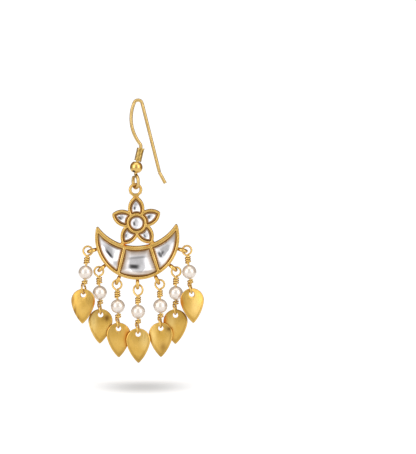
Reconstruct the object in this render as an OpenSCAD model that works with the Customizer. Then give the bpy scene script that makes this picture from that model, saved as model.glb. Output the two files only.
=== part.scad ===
// Chandbali earring: a bent ear hook that carries a flower and crescent frame,
// with seven pearl links and seven leaf drops along the crescent's lower edge.
// Millimetres. Z is up, X is to the right of the face, the face looks along -Y.
// The origin is the underside of the hook's crown, where the ear carries it.

/* [Ear hook] */
// Thickness of the ear wire
hook_wire_d = 0.8; // [0.7:0.05:0.85]
// Inner bend at the top of the hook, to the wire's middle
crown_r = 1; // [0.9:0.05:1.2]
// Straight part of the back leg
back_leg_l = 16.9; // [12:0.1:20]
// Straight end behind the back leg's bend
tip_l = 2.6; // [2:0.1:4]
// Bow of the front limb
bow_r = 9.8; // [9:0.1:11]
// Upright under the front limb, from the bend down to the ball
stem_l = 5.2; // [5.1:0.05:6]
// Loop at the bottom of the hook, to the wire's middle
hook_loop_r = 1.5; // [1.4:0.05:1.6]
// Turn of that loop away from the face
hook_loop_turn = 65; // [55:1:90]

/* [Coil and ball] */
// Thickness of the fine wire wound on the upright
coil_wire_d = 0.3; // [0.24:0.02:0.3]
// Number of its turns
coil_turns = 10; // [6:1:10]
// Ball threaded on the upright
ball_d = 3; // [2.8:0.1:3.2]
// Hole through the ball
ball_bore_d = 1.4; // [1.36:0.02:1.6]

/* [Frame] */
// Depth of the frame, front to back
frame_t = 2.2; // [2:0.1:3]
// Closed back plate behind the stones
plate_t = 0.6; // [0.5:0.05:0.8]
// Lean of the hanging frame, to the left at the top
frame_lean = 2; // [0:0.1:3]
// Ring at the top, to its wire's middle
ring_r = 1.28; // [1.25:0.01:1.35]
// Thickness of that ring
ring_wire_d = 0.72; // [0.6:0.02:0.76]
// Width of the neck under the ring
neck_w = 1.35; // [1.2:0.05:1.5]

/* [Flower] */
// Ring's middle down to the flower's middle
flower_drop = 7.97; // [7.9:0.01:8.1]
// Round setting in the middle
center_d = 4.8; // [4.6:0.1:5]
// Arc of a petal's two sides
petal_arc_r = 3.38; // [3.3:0.01:3.45]
// Offset of each of the two arcs from the petal's line
petal_arc_offset = 1.42; // [1.38:0.01:1.46]
// Flower's middle out to the widest part of a petal
petal_reach = 3; // [2.95:0.01:3.05]
// Extra reach of the top petal, up to the neck
top_petal_out = 0.45; // [0:0.05:0.5]
// Extra reach of the upper left petal; the upper right one has half of it
side_petal_out = 0.2; // [0:0.05:0.25]
// Turn of the two upper side petals from the top one
side_petal_turn = 68; // [66:0.5:72]
// Turn of the two lower petals from the top one
low_petal_turn = 144; // [142:0.5:146]
// Wall around the flower's stones
flower_wall = 0.55; // [0.45:0.05:0.6]

/* [Crescent] */
// Radius of the lower arc
crescent_r = 10.08; // [10:0.02:10.3]
// Radius of the upper arc
crescent_top_r = 11.16; // [10.9:0.02:12.5]
// Height of the crescent in the middle
crescent_h = 8.02; // [7.9:0.02:8.2]
// Wall along the upper arc
top_wall = 0.9; // [0.7:0.05:1]
// Wall along the lower arc
low_wall = 0.65; // [0.5:0.05:0.8]
// Wall between two stones
divider_w = 0.67; // [0.5:0.01:0.8]
// Middle of the crescent out to the upper end of that wall
divider_out = 3.19; // [3.1:0.01:3.3]
// Lean of those walls
divider_lean = 15.6; // [15:0.5:20]

/* [Eyes for the drops] */
// Direction of the middle eye from the middle of the lower arc
eye_middle = 268.3; // [267:0.1:271]
// Angle between two eyes
eye_step = 24.65; // [24:0.05:25]
// Edge of the crescent out to the middle of an eye's hole
eye_out = 1.22; // [1.2:0.01:1.26]
// Eye's ring, to its wire's middle
eye_r = 0.88; // [0.86:0.01:0.9]
// Thickness of that ring
eye_wire_d = 0.74; // [0.6:0.02:0.76]
// Width of that ring, seen from the front
eye_wide = 0.86; // [0.78:0.02:0.88]

/* [Links and pearls] */
// Thickness of the link wire
link_wire_d = 0.48; // [0.4:0.02:0.5]
// Upper loop, to the wire's middle
link_loop_r = 1.08; // [1.05:0.01:1.12]
// Lower loop, to the wire's middle
low_loop_r = 0.96; // [0.92:0.01:1]
// Middle of the upper loop down to the lower loop's lowest point
link_l = 10.31; // [10.3:0.01:10.6]
// Height of one turn of the wrapped wire
wrap_pitch = 0.53; // [0.52:0.01:0.54]
// Pearl size
pearl_d = 3.4; // [3.2:0.05:3.4]
// Hole through a pearl
pearl_bore_d = 0.66; // [0.6:0.02:0.8]
// Middle of the upper loop down to the pearl's middle
pearl_drop = 5.21; // [5.2:0.01:5.22]

/* [Leaves] */
// Round upper end of a leaf
leaf_r = 2.9; // [2.75:0.05:2.9]
// Arc of a leaf's two long sides
leaf_side_r = 10; // [9:0.5:20]
// Middle of the round end down to the point
leaf_point = 5.6; // [5.4:0.05:5.7]
// Rounding of the point
leaf_tip_r = 0.3; // [0.25:0.05:0.4]
// Hole's middle down to the middle of the round end
leaf_hole_up = 1.5; // [1.4:0.05:1.6]
// Hole near the top
leaf_hole_d = 1.24; // [1.2:0.02:1.3]
// Radius of the gentle dome
leaf_dome_r = 18; // [14:1:40]
// Thickness of the sheet
leaf_t = 0.42; // [0.35:0.01:0.45]

/* [Hidden] */
$fn = 96;

gold = [0.84, 0.65, 0.27];
pale_gold = [0.86, 0.70, 0.38];
crystal = [0.86, 0.87, 0.90];
pearl_white = [0.90, 0.84, 0.80];

// How each drop hangs, from the left one to the right one: place of its loop around the eye, slack of the
// loop in the eye, loop height over width, lean of the link (+ is to the left), swing of the link to the
// front, turn of the lower loop, lean of the leaf, turn of the leaf (+ is left edge forward)
drops = [[-14, -0.1, 1, 5.9, 5.4, 66, 3.4, -10],
         [6, -0.1, 1, -2.3, -3.6, 84, 2, 2],
         [15, 0, 1, -1.8, 0, 82, -0.8, 6],
         [6, 0.1, 1.16, 0, 4, 80, -0.4, -2],
         [6, 0.12, 1, -1.3, 0.8, 84, 0.2, -6],
         [-12, 0.06, 1, 0.9, -3.8, 82, 0.2, 0],
         [15, -0.08, 1, -6.2, 4.4, 84, -5.1, 12]];

// Ear wire: its run down the front limb, in the plane of the face
crown_a = 67.5;
bow_a = 60.4;
neck_bend_r = 1.2;
neck_bend_a = 50.8;
stem_lean = 90 - (crown_a + bow_a - neck_bend_a);
ball_bend_r = 2;
below_ball_l = 0.58;
loop_bend_r = 0.6;
loop_bend_a = acos(loop_bend_r / (loop_bend_r + hook_loop_r));
loop_centre_drop = sqrt(pow(hook_loop_r, 2) + 2 * loop_bend_r * hook_loop_r);
loop_turn_a = 298;
back_a = 76;
tip_bend_r = 1.8;
tip_bend_a = 14.6;
joint_l = 0.03;
joint_over = 0.02;
joint_ball_r = hook_wire_d / 2 + joint_over;

// Coil and ball on the upright: gap between wires, rise of a turn over its thickness, start below the bend,
// flare of its free end, and the ball's place and tilt on the wire
coil_gap = 0.2;
coil_play = 0.01;
coil_start = 0.12;
coil_start_a = 200;
coil_flare = 0.18;
coil_steps = 10;
ball_up = 0.42;
ball_tilt = 5;

// Point reached by a wire that starts at p with heading h and bends by a; left is 1 or -1
function bent(p, h, r, a, left = 1) = p + left * r * [sin(h + left * a) - sin(h), cos(h) - cos(h + left * a)];
function along(p, h, l) = p + l * [cos(h), sin(h)];

crown_top = [0, hook_wire_d / 2];
bow_start = bent(crown_top, 180, crown_r, crown_a);
bow_end = bent(bow_start, 180 + crown_a, bow_r, bow_a);
stem_top = bent(bow_end, 180 + crown_a + bow_a, neck_bend_r, neck_bend_a, -1);
stem_end = along(stem_top, 270 - stem_lean, stem_l);
loop_top = along(bent(stem_end, 270 - stem_lean, ball_bend_r, stem_lean), 270, below_ball_l);
loop_low = loop_top - [0, loop_centre_drop + hook_loop_r];

// Where the frame hangs: the middle of its ring, which is also the axis that it swings about
hang_gap = 0.08;
ring_hole_r = ring_r - ring_wire_d / 2;
hang_left = 0.05;
ring_c = loop_low - [hang_left, ring_hole_r - hook_wire_d / 2 - hang_gap];

// Frame, from the middle of its ring: turn and extra reach of each petal; a horn of the crescent ends bluntly
// just past where a small round fits
fc = [0, -flower_drop];
petal_turns = [0, side_petal_turn, low_petal_turn, -low_petal_turn, -side_petal_turn];
petal_outs = [top_petal_out, side_petal_out, 0, 0, side_petal_out / 2];
petal_tip = petal_reach + sqrt(pow(petal_arc_r, 2) - pow(petal_arc_offset, 2));
horn_tip_r = 0.33;
horn_tip_l = 0.28;
solder_in = 0.14;
solder_r = 0.62;
neck_t = 0.66;
neck_side_r = 1.1;
neck_side_y = -1.95;
neck_low = fc.y + petal_tip + top_petal_out - flower_wall / 2;
eye_stalk_d = 1.6;
eye_stalk_in = 0.3;
cell_floor = plate_t - frame_t / 2;

// Room around a stone in its cell, the stone's four height levels, and how far its outline steps in at each
setting_gap = 0.06;
stone_levels = [cell_floor + 0.05, cell_floor + 0.95, cell_floor + 1.2, cell_floor + 1.38];
round_insets = [0, 0, 0.4, 0.85];
petal_insets = [0, 0, 0.32, 0.66];
middle_insets = [0, 0, 0.5, 1.1];
side_insets = [0, 0, 0.36, 0.72];

// Link wire: the loop's first and last angle, its last part's way forward, the wrap's radius, how far below
// the loop the wrap and the shaft's foot begin, and the turns of the two wraps
loop_from = -70;
loop_to = 240;
loop_forward = 0.4;
wrap_r = link_wire_d + 0.04;
wrap_down = 0.42;
foot_down = 0.5;
upper_turns = 3;
lower_turns = 1.5;

// Leaf: room to its link's loop, dome's highest place below the hole, backward lean of a hanging leaf, and
// depth of the block that it is cut from
leaf_gap = 0.15;
leaf_dome_down = leaf_hole_up + 0.5;
leaf_back_lean = 0.6;
leaf_room = 3.5;

// Middles of the crescent's two arcs: the upper arc runs just under the tips of the two lower petals
tip_gap = 0.046;
low_tip = fc + petal_tip * [sin(low_petal_turn), cos(low_petal_turn)];
uc = [0, low_tip.y - tip_gap + sqrt(pow(crescent_top_r, 2) - pow(low_tip.x, 2))];
crescent_rise = crescent_top_r - crescent_r + crescent_h;
cc = uc - [0, crescent_rise];
divider_top = uc + [divider_out, -sqrt(pow(crescent_top_r + top_wall, 2) - pow(divider_out, 2))];

// Point where two circles about cc and uc cross, on the right
function arcs_meet(r_low, r_top) =
    let (h = (pow(r_low, 2) - pow(r_top, 2) + pow(crescent_rise, 2)) / (2 * crescent_rise))
    cc + [sqrt(pow(r_low, 2) - pow(h, 2)), h];

// Far point where the line from p along u crosses the circle of radius r about c
function line_meets(p, u, c, r) =
    let (w = p - c, b = w * u)
    p + u * (sqrt(b * b - w * w + r * r) - b);

// Points along the circle about c from point a to point b, without b
function arc_points(c, a, b, n) =
    let (r = norm(a - c), s = atan2(a.y - c.y, a.x - c.x), e = atan2(b.y - c.y, b.x - c.x),
         sweep = e - s > 180 ? e - s - 360 : (e - s < -180 ? e - s + 360 : e - s))
    [for (i = [0 : n - 1]) c + r * [cos(s + sweep * i / n), sin(s + sweep * i / n)]];

function mirrored(points) = [for (i = [len(points) - 1 : -1 : 0]) [-points[i].x, points[i].y]];

function eye_angle(i) = eye_middle + eye_step * (i - 4);
function spun(p, a) = [p.x * cos(a) - p.y * sin(a), p.x * sin(a) + p.y * cos(a)];
function eye_hole(i) =
    ring_c + spun(cc + (crescent_r + eye_out) * [cos(eye_angle(i)), sin(eye_angle(i))], frame_lean);
function loop_middle(i) =
    let (d = drops[i - 1], a = eye_angle(i) + frame_lean + d[0])
    eye_hole(i) + [(link_loop_r + d[1]) * cos(a), (link_loop_r * d[2] + d[1]) * sin(a)];

// Wire bent by a table: each row is a straight length, a bend radius, a bend angle and the twist before it.
// A ball hardly thicker than the wire closes each joint between two of its pieces.
module wire(rows, i = 0) {
    if (i < len(rows)) {
        l = rows[i][0];
        r = rows[i][1];
        a = rows[i][2];
        if (l > 0) translate([0, 0, joint_l]) cylinder(d = hook_wire_d, h = l - 2 * joint_l);
        translate([0, 0, l]) rotate([0, 0, rows[i][3]]) if (a > 0) {
            if (l > 0) sphere(r = joint_ball_r);
            trim = joint_l / r * 180 / PI;
            translate([r, 0, 0]) rotate([90, 0, 180]) rotate([0, 0, trim])
                rotate_extrude(angle = a - 2 * trim) translate([r, 0]) circle(d = hook_wire_d);
            translate([r * (1 - cos(a)), 0, r * sin(a)]) rotate([0, a, 0]) {
                if (i + 1 < len(rows)) sphere(r = joint_ball_r);
                wire(rows, i + 1);
            }
        }
    }
}

// Tube along a row of points, with flat sides
module tube(points, d, sides) {
    n = len(points);
    way = [for (i = [0 : n - 1]) let (v = points[min(i + 1, n - 1)] - points[max(i - 1, 0)]) v / norm(v)];
    first = abs(way[0].z) < 0.9 ? cross(way[0], [0, 0, 1]) : cross(way[0], [1, 0, 0]);
    out = [for (i = 0, v = first / norm(first); i < n;
                i = i + 1, w = i < n ? v - (v * way[i]) * way[i] : v, v = w / norm(w)) v];
    skin = [for (i = [0 : n - 1], k = [0 : sides - 1])
        points[i] + d / 2 * (cos(360 * k / sides) * out[i] + sin(360 * k / sides) * cross(way[i], out[i]))];
    sides_a = [for (i = [0 : n - 2], k = [0 : sides - 1])
        [i * sides + k, (i + 1) * sides + k, (i + 1) * sides + (k + 1) % sides]];
    sides_b = [for (i = [0 : n - 2], k = [0 : sides - 1])
        [i * sides + k, (i + 1) * sides + (k + 1) % sides, i * sides + (k + 1) % sides]];
    last = (n - 1) * sides;
    ends = [for (k = [1 : sides - 2]) each [[0, k, k + 1], [last, last + k + 1, last + k]]];
    polyhedron(skin, concat(sides_a, sides_b, ends));
}

// Turned so that +Z runs down the hook's upright, from the bend above the coil
module on_stem() {
    translate([stem_top.x, 0, stem_top.y]) rotate([0, 180 + stem_lean, 0]) children();
}

module ear_hook() {
    color(pale_gold) union() {
        translate([bow_start.x, 0, bow_start.y]) rotate([0, 90 - crown_a, 0]) {
            sphere(r = joint_ball_r);
            wire([[0, crown_r, crown_a + back_a, 0],
                  [back_leg_l, tip_bend_r, tip_bend_a, 180],
                  [tip_l, 0, 0, 0]]);
            rotate([180, 0, 0])
                wire([[0, bow_r, bow_a, 0],
                      [0, neck_bend_r, neck_bend_a, 180],
                      [stem_l, ball_bend_r, stem_lean, 180],
                      [below_ball_l, loop_bend_r, loop_bend_a, hook_loop_turn],
                      [0, hook_loop_r, loop_turn_a, 180]]);
        }
    }
}

module hook_coil() {
    r = (hook_wire_d + coil_wire_d) / 2 + coil_gap;
    pitch = coil_wire_d + coil_play;
    points = [for (i = [0 : coil_turns * coil_steps])
        let (out = r + coil_flare * max(0, 1 - i / 2), a = coil_start_a + 360 * i / coil_steps)
        [out * cos(a), out * sin(a), coil_start + pitch * i / coil_steps]];
    color(gold) on_stem() tube(points, coil_wire_d, 5);
}

module hook_ball() {
    color(gold) on_stem() translate([0, 0, stem_l - ball_up]) rotate([0, -ball_tilt, 0]) difference() {
        sphere(d = ball_d);
        translate([0, 0, -ball_d]) cylinder(d = ball_bore_d, h = 2 * ball_d);
    }
}

// Turned and moved to where the frame hangs
module hung() {
    translate([ring_c.x, 0, ring_c.y]) rotate([0, -frame_lean, 0]) children();
}

module petal_area(k, wall) {
    intersection_for (s = [-1, 1])
        translate([s * petal_arc_offset, petal_reach + petal_outs[k]]) circle(r = petal_arc_r - wall);
}

module frame_area() {
    for (k = [0 : 4]) translate(fc) rotate(petal_turns[k]) petal_area(k, 0);
    translate(fc) circle(d = center_d);
    horn = arcs_meet(crescent_r - horn_tip_r, crescent_top_r + horn_tip_r);
    way = (horn - cc) / norm(horn - cc) + (uc - horn) / norm(uc - horn);
    difference() {
        translate(cc) circle(r = crescent_r);
        translate(uc) circle(r = crescent_top_r);
        for (m = [0, 1]) mirror([m, 0]) translate(horn) rotate(atan2(way.y, way.x))
            translate([horn_tip_l, -1]) square(2);
    }
    for (a = [-low_petal_turn, low_petal_turn]) translate(fc + spun([0, petal_tip - solder_in], a))
        circle(r = solder_r);
}

module cell_area() {
    for (k = [0 : 4]) translate(fc) rotate(petal_turns[k]) difference() {
        petal_area(k, flower_wall);
        circle(d = center_d);
    }
    translate(fc) circle(d = center_d - 2 * flower_wall);
    difference() {
        translate(cc) circle(r = crescent_r - low_wall);
        translate(uc) circle(r = crescent_top_r + top_wall);
        for (s = [-1, 1])
            translate([s * divider_top.x, divider_top.y]) rotate(s * divider_lean)
                translate([-divider_w / 2, -crescent_h]) square([divider_w, 2 * crescent_h]);
    }
}

module eye() {
    side = (eye_wide - eye_wire_d) / 2;
    rotate_extrude() translate([eye_r, 0]) {
        for (s = [-1, 1]) translate([0, s * side]) circle(d = eye_wire_d);
        square([eye_wire_d, 2 * side], center = true);
    }
    translate([-eye_out - eye_stalk_in, 0, 0]) rotate([0, 90, 0])
        cylinder(d1 = eye_stalk_d, d2 = eye_wide, h = eye_out + eye_stalk_in - eye_r);
}

module frame() {
    color(gold) hung() union() {
        rotate([90, 0, 0]) translate([0, 0, -frame_t / 2]) difference() {
            linear_extrude(frame_t) frame_area();
            translate([0, 0, plate_t]) linear_extrude(frame_t) cell_area();
        }
        rotate([90, 0, 0]) rotate_extrude() translate([ring_r, 0]) circle(d = ring_wire_d);
        rotate([90, 0, 0]) translate([0, 0, -neck_t / 2]) linear_extrude(neck_t) difference() {
            translate([-ring_r, neck_low]) square([2 * ring_r, -neck_low]);
            circle(r = ring_r);
            for (s = [-1, 1])
                translate([s * (neck_w / 2 + neck_side_r), neck_side_y]) circle(r = neck_side_r);
        }
        for (i = [1 : 7])
            translate([0, 0, cc.y]) rotate([0, -eye_angle(i), 0])
                translate([crescent_r + eye_out, 0, 0]) eye();
    }
}

// Cut stone: outlines at four insets, joined level by level; the caps fan out from one corner of the outline
module stone(outlines, corner) {
    n = len(outlines[0]);
    top = len(outlines) - 1;
    points = [for (j = [0 : top], p = outlines[j]) [p.x, -stone_levels[j], p.y]];
    sides = [for (j = [0 : top - 1], i = [0 : n - 1]) each
        [[j * n + i, (j + 1) * n + (i + 1) % n, j * n + (i + 1) % n],
         [j * n + i, (j + 1) * n + i, (j + 1) * n + (i + 1) % n]]];
    caps = [for (i = [1 : n - 2]) each
        [[corner, (corner + i) % n, (corner + i + 1) % n],
         [top * n + corner, top * n + (corner + i + 1) % n, top * n + (corner + i) % n]]];
    color(crystal) hung() polyhedron(points, concat(sides, caps));
}

function petal_outline(k, inset) =
    let (r = petal_arc_r - flower_wall - inset, core = center_d / 2 + inset,
         s = [-petal_arc_offset, petal_reach + petal_outs[k]], d = norm(s),
         a = (core * core - r * r + d * d) / (2 * d), h = sqrt(core * core - a * a),
         root = s / d * a + [s.y, -s.x] / d * h,
         tip = [0, s.y + sqrt(r * r - pow(petal_arc_offset, 2))])
    concat(arc_points(s, root, tip, 5), arc_points([-s.x, s.y], tip, [-root.x, root.y], 5),
           arc_points([0, 0], [-root.x, root.y], root, 4));

function middle_outline(inset) =
    let (n = [cos(divider_lean), sin(divider_lean)], u = [sin(divider_lean), -cos(divider_lean)],
         p = divider_top - n * (divider_w / 2 + inset),
         a = line_meets(p, u, uc, crescent_top_r + top_wall + inset), a2 = [-a.x, a.y],
         b = line_meets(p, u, cc, crescent_r - low_wall - inset), b2 = [-b.x, b.y])
    concat(arc_points(uc, a, a2, 6), [a2, (a2 + b2) / 2], arc_points(cc, b2, b, 8), [b, (a + b) / 2]);

function side_outline(inset) =
    let (n = [cos(divider_lean), sin(divider_lean)], u = [sin(divider_lean), -cos(divider_lean)],
         p = divider_top + n * (divider_w / 2 + inset),
         a = line_meets(p, u, uc, crescent_top_r + top_wall + inset),
         b = line_meets(p, u, cc, crescent_r - low_wall - inset),
         tip = arcs_meet(crescent_r - low_wall - inset, crescent_top_r + top_wall + inset))
    concat([b], arc_points(uc, a, tip, 7), arc_points(cc, tip, b, 7));

function placed(points, angle) = [for (p = points) fc + spun(p, angle)];

module stone_center() {
    r = center_d / 2 - flower_wall - setting_gap;
    stone([for (inset = round_insets)
               placed([for (i = [0 : 15]) (r - inset) * [cos(22.5 * i), -sin(22.5 * i)]], 0)],
          corner = 0);
}

module stone_petal(k) {
    stone([for (inset = petal_insets)
               placed(petal_outline(k - 1, setting_gap + inset), petal_turns[k - 1])],
          corner = 5);
}

module stone_crescent_middle() {
    stone([for (inset = middle_insets) middle_outline(setting_gap + inset)], corner = 12);
}

module stone_crescent(side) {
    outlines = [for (inset = side_insets)
        let (o = side_outline(setting_gap + inset)) side > 0 ? o : mirrored(o)];
    stone(outlines, corner = side > 0 ? 0 : len(outlines[0]) - 1);
}

// Smooth curve from a to d with b and c as its guide points, n points without the last
function curve(a, b, c, d, n) =
    [for (i = [0 : n - 1]) let (t = i / n)
        a * pow(1 - t, 3) + 3 * b * t * pow(1 - t, 2) + 3 * c * t * t * (1 - t) + d * pow(t, 3)];

// Upper loop of a link at angle a; its last part comes forward, to pass in front of the shaft
function loop_point(r, tall, a) =
    [r * cos(a), -loop_forward * pow(max(0, a - 140) / 100, 2), tall * r * sin(a)];

// One end of a link, from the shaft around the loop and down the wrap; the loop's middle is the origin
function link_end(r, tall, turns) =
    let (start = loop_point(r, tall, loop_from), start_way = [-sin(loop_from), 0, tall * cos(loop_from)],
         stop = loop_point(r, tall, loop_to), stop_way = [-sin(loop_to), -0.5, tall * cos(loop_to)],
         wrap = [0, -wrap_r, -tall * r - wrap_down], wrap_way = [1, 0, -wrap_pitch / (2 * PI * wrap_r)],
         foot = [0, 0, -tall * r - foot_down])
    concat(curve(foot, foot + [0, 0, 0.3], start - 0.28 * start_way, start, 4),
           [for (i = [0 : 12]) loop_point(r, tall, loop_from + (loop_to - loop_from) * i / 13)],
           curve(stop, stop + 0.25 * stop_way, wrap - 0.25 * wrap_way, wrap, 4),
           [for (i = [0 : 10 * turns]) wrap_r * [cos(270 + 36 * i), sin(270 + 36 * i), 0]
               + [0, 0, wrap.z - wrap_pitch * i / 10]]);

function turned(p, a) = let (q = spun(p, a)) [q.x, q.y, p.z];

// Moved to the upper loop of drop i and leaned with its link
module hanging(i) {
    m = loop_middle(i);
    translate([m.x, 0, m.y]) rotate([-drops[i - 1][4], drops[i - 1][3], 0]) children();
}

module link(i) {
    upper = link_end(link_loop_r, drops[i - 1][2], upper_turns);
    lower = link_end(low_loop_r, 1, lower_turns);
    low_middle = [0, 0, low_loop_r - link_l];
    points = concat([for (k = [len(upper) - 1 : -1 : 0]) upper[k]],
                    [for (p = lower) low_middle + turned([p.x, -p.y, -p.z], drops[i - 1][5])]);
    color(gold) hanging(i) tube(points, link_wire_d, 6);
}

module pearl(i) {
    color(pearl_white) hanging(i) translate([0, 0, -pearl_drop]) difference() {
        sphere(d = pearl_d);
        translate([0, 0, -pearl_d]) cylinder(d = pearl_bore_d, h = 2 * pearl_d);
    }
}

// Leaf outline: a round end and two long arcs that meet at a rounded point; the hole's middle is the origin
module leaf_area() {
    reach = leaf_side_r - leaf_r;
    rise = (pow(leaf_side_r, 2) - pow(reach, 2) - pow(leaf_point, 2)) / (2 * leaf_point);
    side = sqrt(pow(reach, 2) - pow(rise, 2));
    join = -leaf_r * rise / reach;
    tip = sqrt(pow(leaf_side_r - leaf_tip_r, 2) - pow(side, 2)) - rise;
    cut = -tip - leaf_tip_r * (tip + rise) / (leaf_side_r - leaf_tip_r);
    translate([0, -leaf_hole_up]) {
        circle(r = leaf_r);
        intersection() {
            for (s = [-1, 1]) intersection() {
                translate([side, rise]) circle(r = leaf_side_r);
                translate([-side, rise]) circle(r = leaf_side_r);
            }
            translate([-leaf_r, cut]) square([2 * leaf_r, join - cut]);
        }
        translate([0, -tip]) circle(r = leaf_tip_r);
    }
}

module leaf(i) {
    rest = leaf_hole_d / 2 - link_wire_d / 2 - leaf_gap;
    sag = pow(leaf_dome_down + leaf_hole_d / 2, 2) / (2 * leaf_dome_r);
    color(gold) hanging(i) translate([0, 0, -link_l])
        rotate([drops[i - 1][4] - leaf_back_lean, drops[i - 1][6] - drops[i - 1][3], drops[i - 1][7]])
        translate([0, -sag, -rest]) difference() {
            intersection() {
                translate([0, leaf_room / 2, 0]) rotate([90, 0, 0]) linear_extrude(leaf_room) leaf_area();
                translate([0, leaf_dome_r, -leaf_dome_down]) difference() {
                    sphere(r = leaf_dome_r + leaf_t / 2);
                    sphere(r = leaf_dome_r - leaf_t / 2);
                }
            }
            translate([0, leaf_room / 2, 0]) rotate([90, 0, 0]) cylinder(d = leaf_hole_d, h = leaf_room);
        }
}

ear_hook();
hook_coil();
hook_ball();
frame();
stone_center();
stone_petal(1);  // stone_petal_1
stone_petal(2);  // stone_petal_2
stone_petal(3);  // stone_petal_3
stone_petal(4);  // stone_petal_4
stone_petal(5);  // stone_petal_5
stone_crescent(-1);  // stone_crescent_left
stone_crescent_middle();
stone_crescent(1);  // stone_crescent_right
link(1);  // link_1
link(2);  // link_2
link(3);  // link_3
link(4);  // link_4
link(5);  // link_5
link(6);  // link_6
link(7);  // link_7
pearl(1);  // pearl_1
pearl(2);  // pearl_2
pearl(3);  // pearl_3
pearl(4);  // pearl_4
pearl(5);  // pearl_5
pearl(6);  // pearl_6
pearl(7);  // pearl_7
leaf(1);  // leaf_1
leaf(2);  // leaf_2
leaf(3);  // leaf_3
leaf(4);  // leaf_4
leaf(5);  // leaf_5
leaf(6);  // leaf_6
leaf(7);  // leaf_7
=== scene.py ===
import math

import bmesh
import bpy
from mathutils import Matrix, Vector, kdtree, noise


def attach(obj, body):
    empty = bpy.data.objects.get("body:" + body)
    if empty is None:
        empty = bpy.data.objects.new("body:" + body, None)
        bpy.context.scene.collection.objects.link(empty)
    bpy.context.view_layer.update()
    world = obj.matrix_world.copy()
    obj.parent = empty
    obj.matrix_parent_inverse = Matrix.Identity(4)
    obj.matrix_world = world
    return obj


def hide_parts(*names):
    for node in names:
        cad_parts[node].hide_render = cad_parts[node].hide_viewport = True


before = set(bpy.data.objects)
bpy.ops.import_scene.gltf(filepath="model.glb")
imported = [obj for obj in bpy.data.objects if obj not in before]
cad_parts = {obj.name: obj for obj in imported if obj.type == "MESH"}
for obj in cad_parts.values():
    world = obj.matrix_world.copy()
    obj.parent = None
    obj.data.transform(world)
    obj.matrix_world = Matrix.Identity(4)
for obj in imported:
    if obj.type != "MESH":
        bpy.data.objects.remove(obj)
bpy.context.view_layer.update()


# Ear hook: one length of pale gold wire, bent over the ear, down the bow and the
# upright, and closed at the bottom into the loop that carries the pendant.
# Its two ends are filed round; the surface is drawn wire, polished by hand.
MM = 0.001
wire_thick = 0.8
crown_r, crown_turn = 1.0, 67.5
back_turn, back_leg = 76, 16.9
tip_bend_r, tip_turn, tip_length = 1.8, 14.6, 2.6
bow_r, bow_turn = 9.8, 60.4
neck_bend_r, neck_turn = 1.2, 50.8
upright_length, upright_bend_r, under_ball = 5.2, 2.0, 0.58
loop_r, loop_bend_r, loop_away, loop_sweep = 1.5, 0.6, 65, 298
upright_lean = 90 - (crown_turn + bow_turn - neck_turn)
loop_bend_turn = math.degrees(math.acos(loop_bend_r / (loop_bend_r + loop_r)))


def add_node(tree, kind, sockets=None, **settings):
    made = tree.nodes.new(kind)
    for name, value in settings.items():
        setattr(made, name, value)
    for name, value in (sockets or {}).items():
        if isinstance(value, bpy.types.NodeSocket):
            tree.links.new(value, made.inputs[name])
        else:
            made.inputs[name].default_value = value
    return made


def new_tree(name, inputs):
    tree = bpy.data.node_groups.new(name, "GeometryNodeTree")
    for socket_name, kind in inputs.items():
        tree.interface.new_socket(name=socket_name, in_out="INPUT", socket_type=kind)
    tree.interface.new_socket(name="Piece", in_out="OUTPUT", socket_type="NodeSocketGeometry")
    return tree, add_node(tree, "NodeGroupInput").outputs


def end_tree(tree, shape, material):
    real = add_node(tree, "GeometryNodeRealizeInstances", {"Geometry": shape})
    coated = add_node(tree, "GeometryNodeSetMaterial", {"Geometry": real.outputs[0], "Material": material})
    add_node(tree, "NodeGroupOutput", {"Piece": coated.outputs[0]})


def new_object(name, data):
    made = bpy.data.objects.new(name, data)
    bpy.context.scene.collection.objects.link(made)
    return made


def rotated(degrees, axis):
    return Matrix.Rotation(math.radians(degrees), 4, axis)


def held(value):
    """A share, held between none and all."""
    return min(1, max(0, value))


# Round wire drawn along a path of points; the attribute thin narrows it where it ends or tapers
wire_tree, given = new_tree("wire_along_path", {
    "Path": "NodeSocketGeometry", "Wire thickness": "NodeSocketFloat", "Sides": "NodeSocketInt",
    "Steps between points": "NodeSocketInt", "Material": "NodeSocketMaterial"})
line = add_node(wire_tree, "GeometryNodeMeshToCurve", {"Mesh": given["Path"]})
smooth = add_node(wire_tree, "GeometryNodeCurveSplineType", {"Curve": line.outputs[0]},
                  spline_type="CATMULL_ROM")
fine = add_node(wire_tree, "GeometryNodeSetSplineResolution",
                {"Geometry": smooth.outputs[0], "Resolution": given["Steps between points"]})
thin = add_node(wire_tree, "GeometryNodeInputNamedAttribute", {"Name": "thin"}, data_type="FLOAT")
sized = add_node(wire_tree, "GeometryNodeSetCurveRadius",
                 {"Curve": fine.outputs[0], "Radius": thin.outputs["Attribute"]})
half = add_node(wire_tree, "ShaderNodeMath", {0: given["Wire thickness"], 1: 0.5}, operation="MULTIPLY")
section = add_node(wire_tree, "GeometryNodeCurvePrimitiveCircle",
                   {"Resolution": given["Sides"], "Radius": half.outputs[0]})
tube = add_node(wire_tree, "GeometryNodeCurveToMesh",
                {"Curve": sized.outputs[0], "Profile Curve": section.outputs[0], "Fill Caps": True})
soft = add_node(wire_tree, "GeometryNodeSetShadeSmooth", {"Geometry": tube.outputs[0], "Shade Smooth": True})
end_tree(wire_tree, soft.outputs[0], given["Material"])


def path_object(paths, closed=False):
    """A loose object: each path is a chain of edges, and a point's fourth number, if any, is its thinness."""
    mesh = bpy.data.meshes.new("path")
    points, edges = [], []
    for path in paths:
        first = len(points)
        points += [tuple(p) for p in path]
        edges += [(first + i, first + i + 1) for i in range(len(path) - 1)]
        if closed:
            edges.append((len(points) - 1, first))
    mesh.from_pydata([p[:3] for p in points], edges, [])
    thin = mesh.attributes.new("thin", "FLOAT", "POINT")
    thin.data.foreach_set("value", [p[3] if len(p) > 3 else 1.0 for p in points])
    return new_object("path", mesh)


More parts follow.
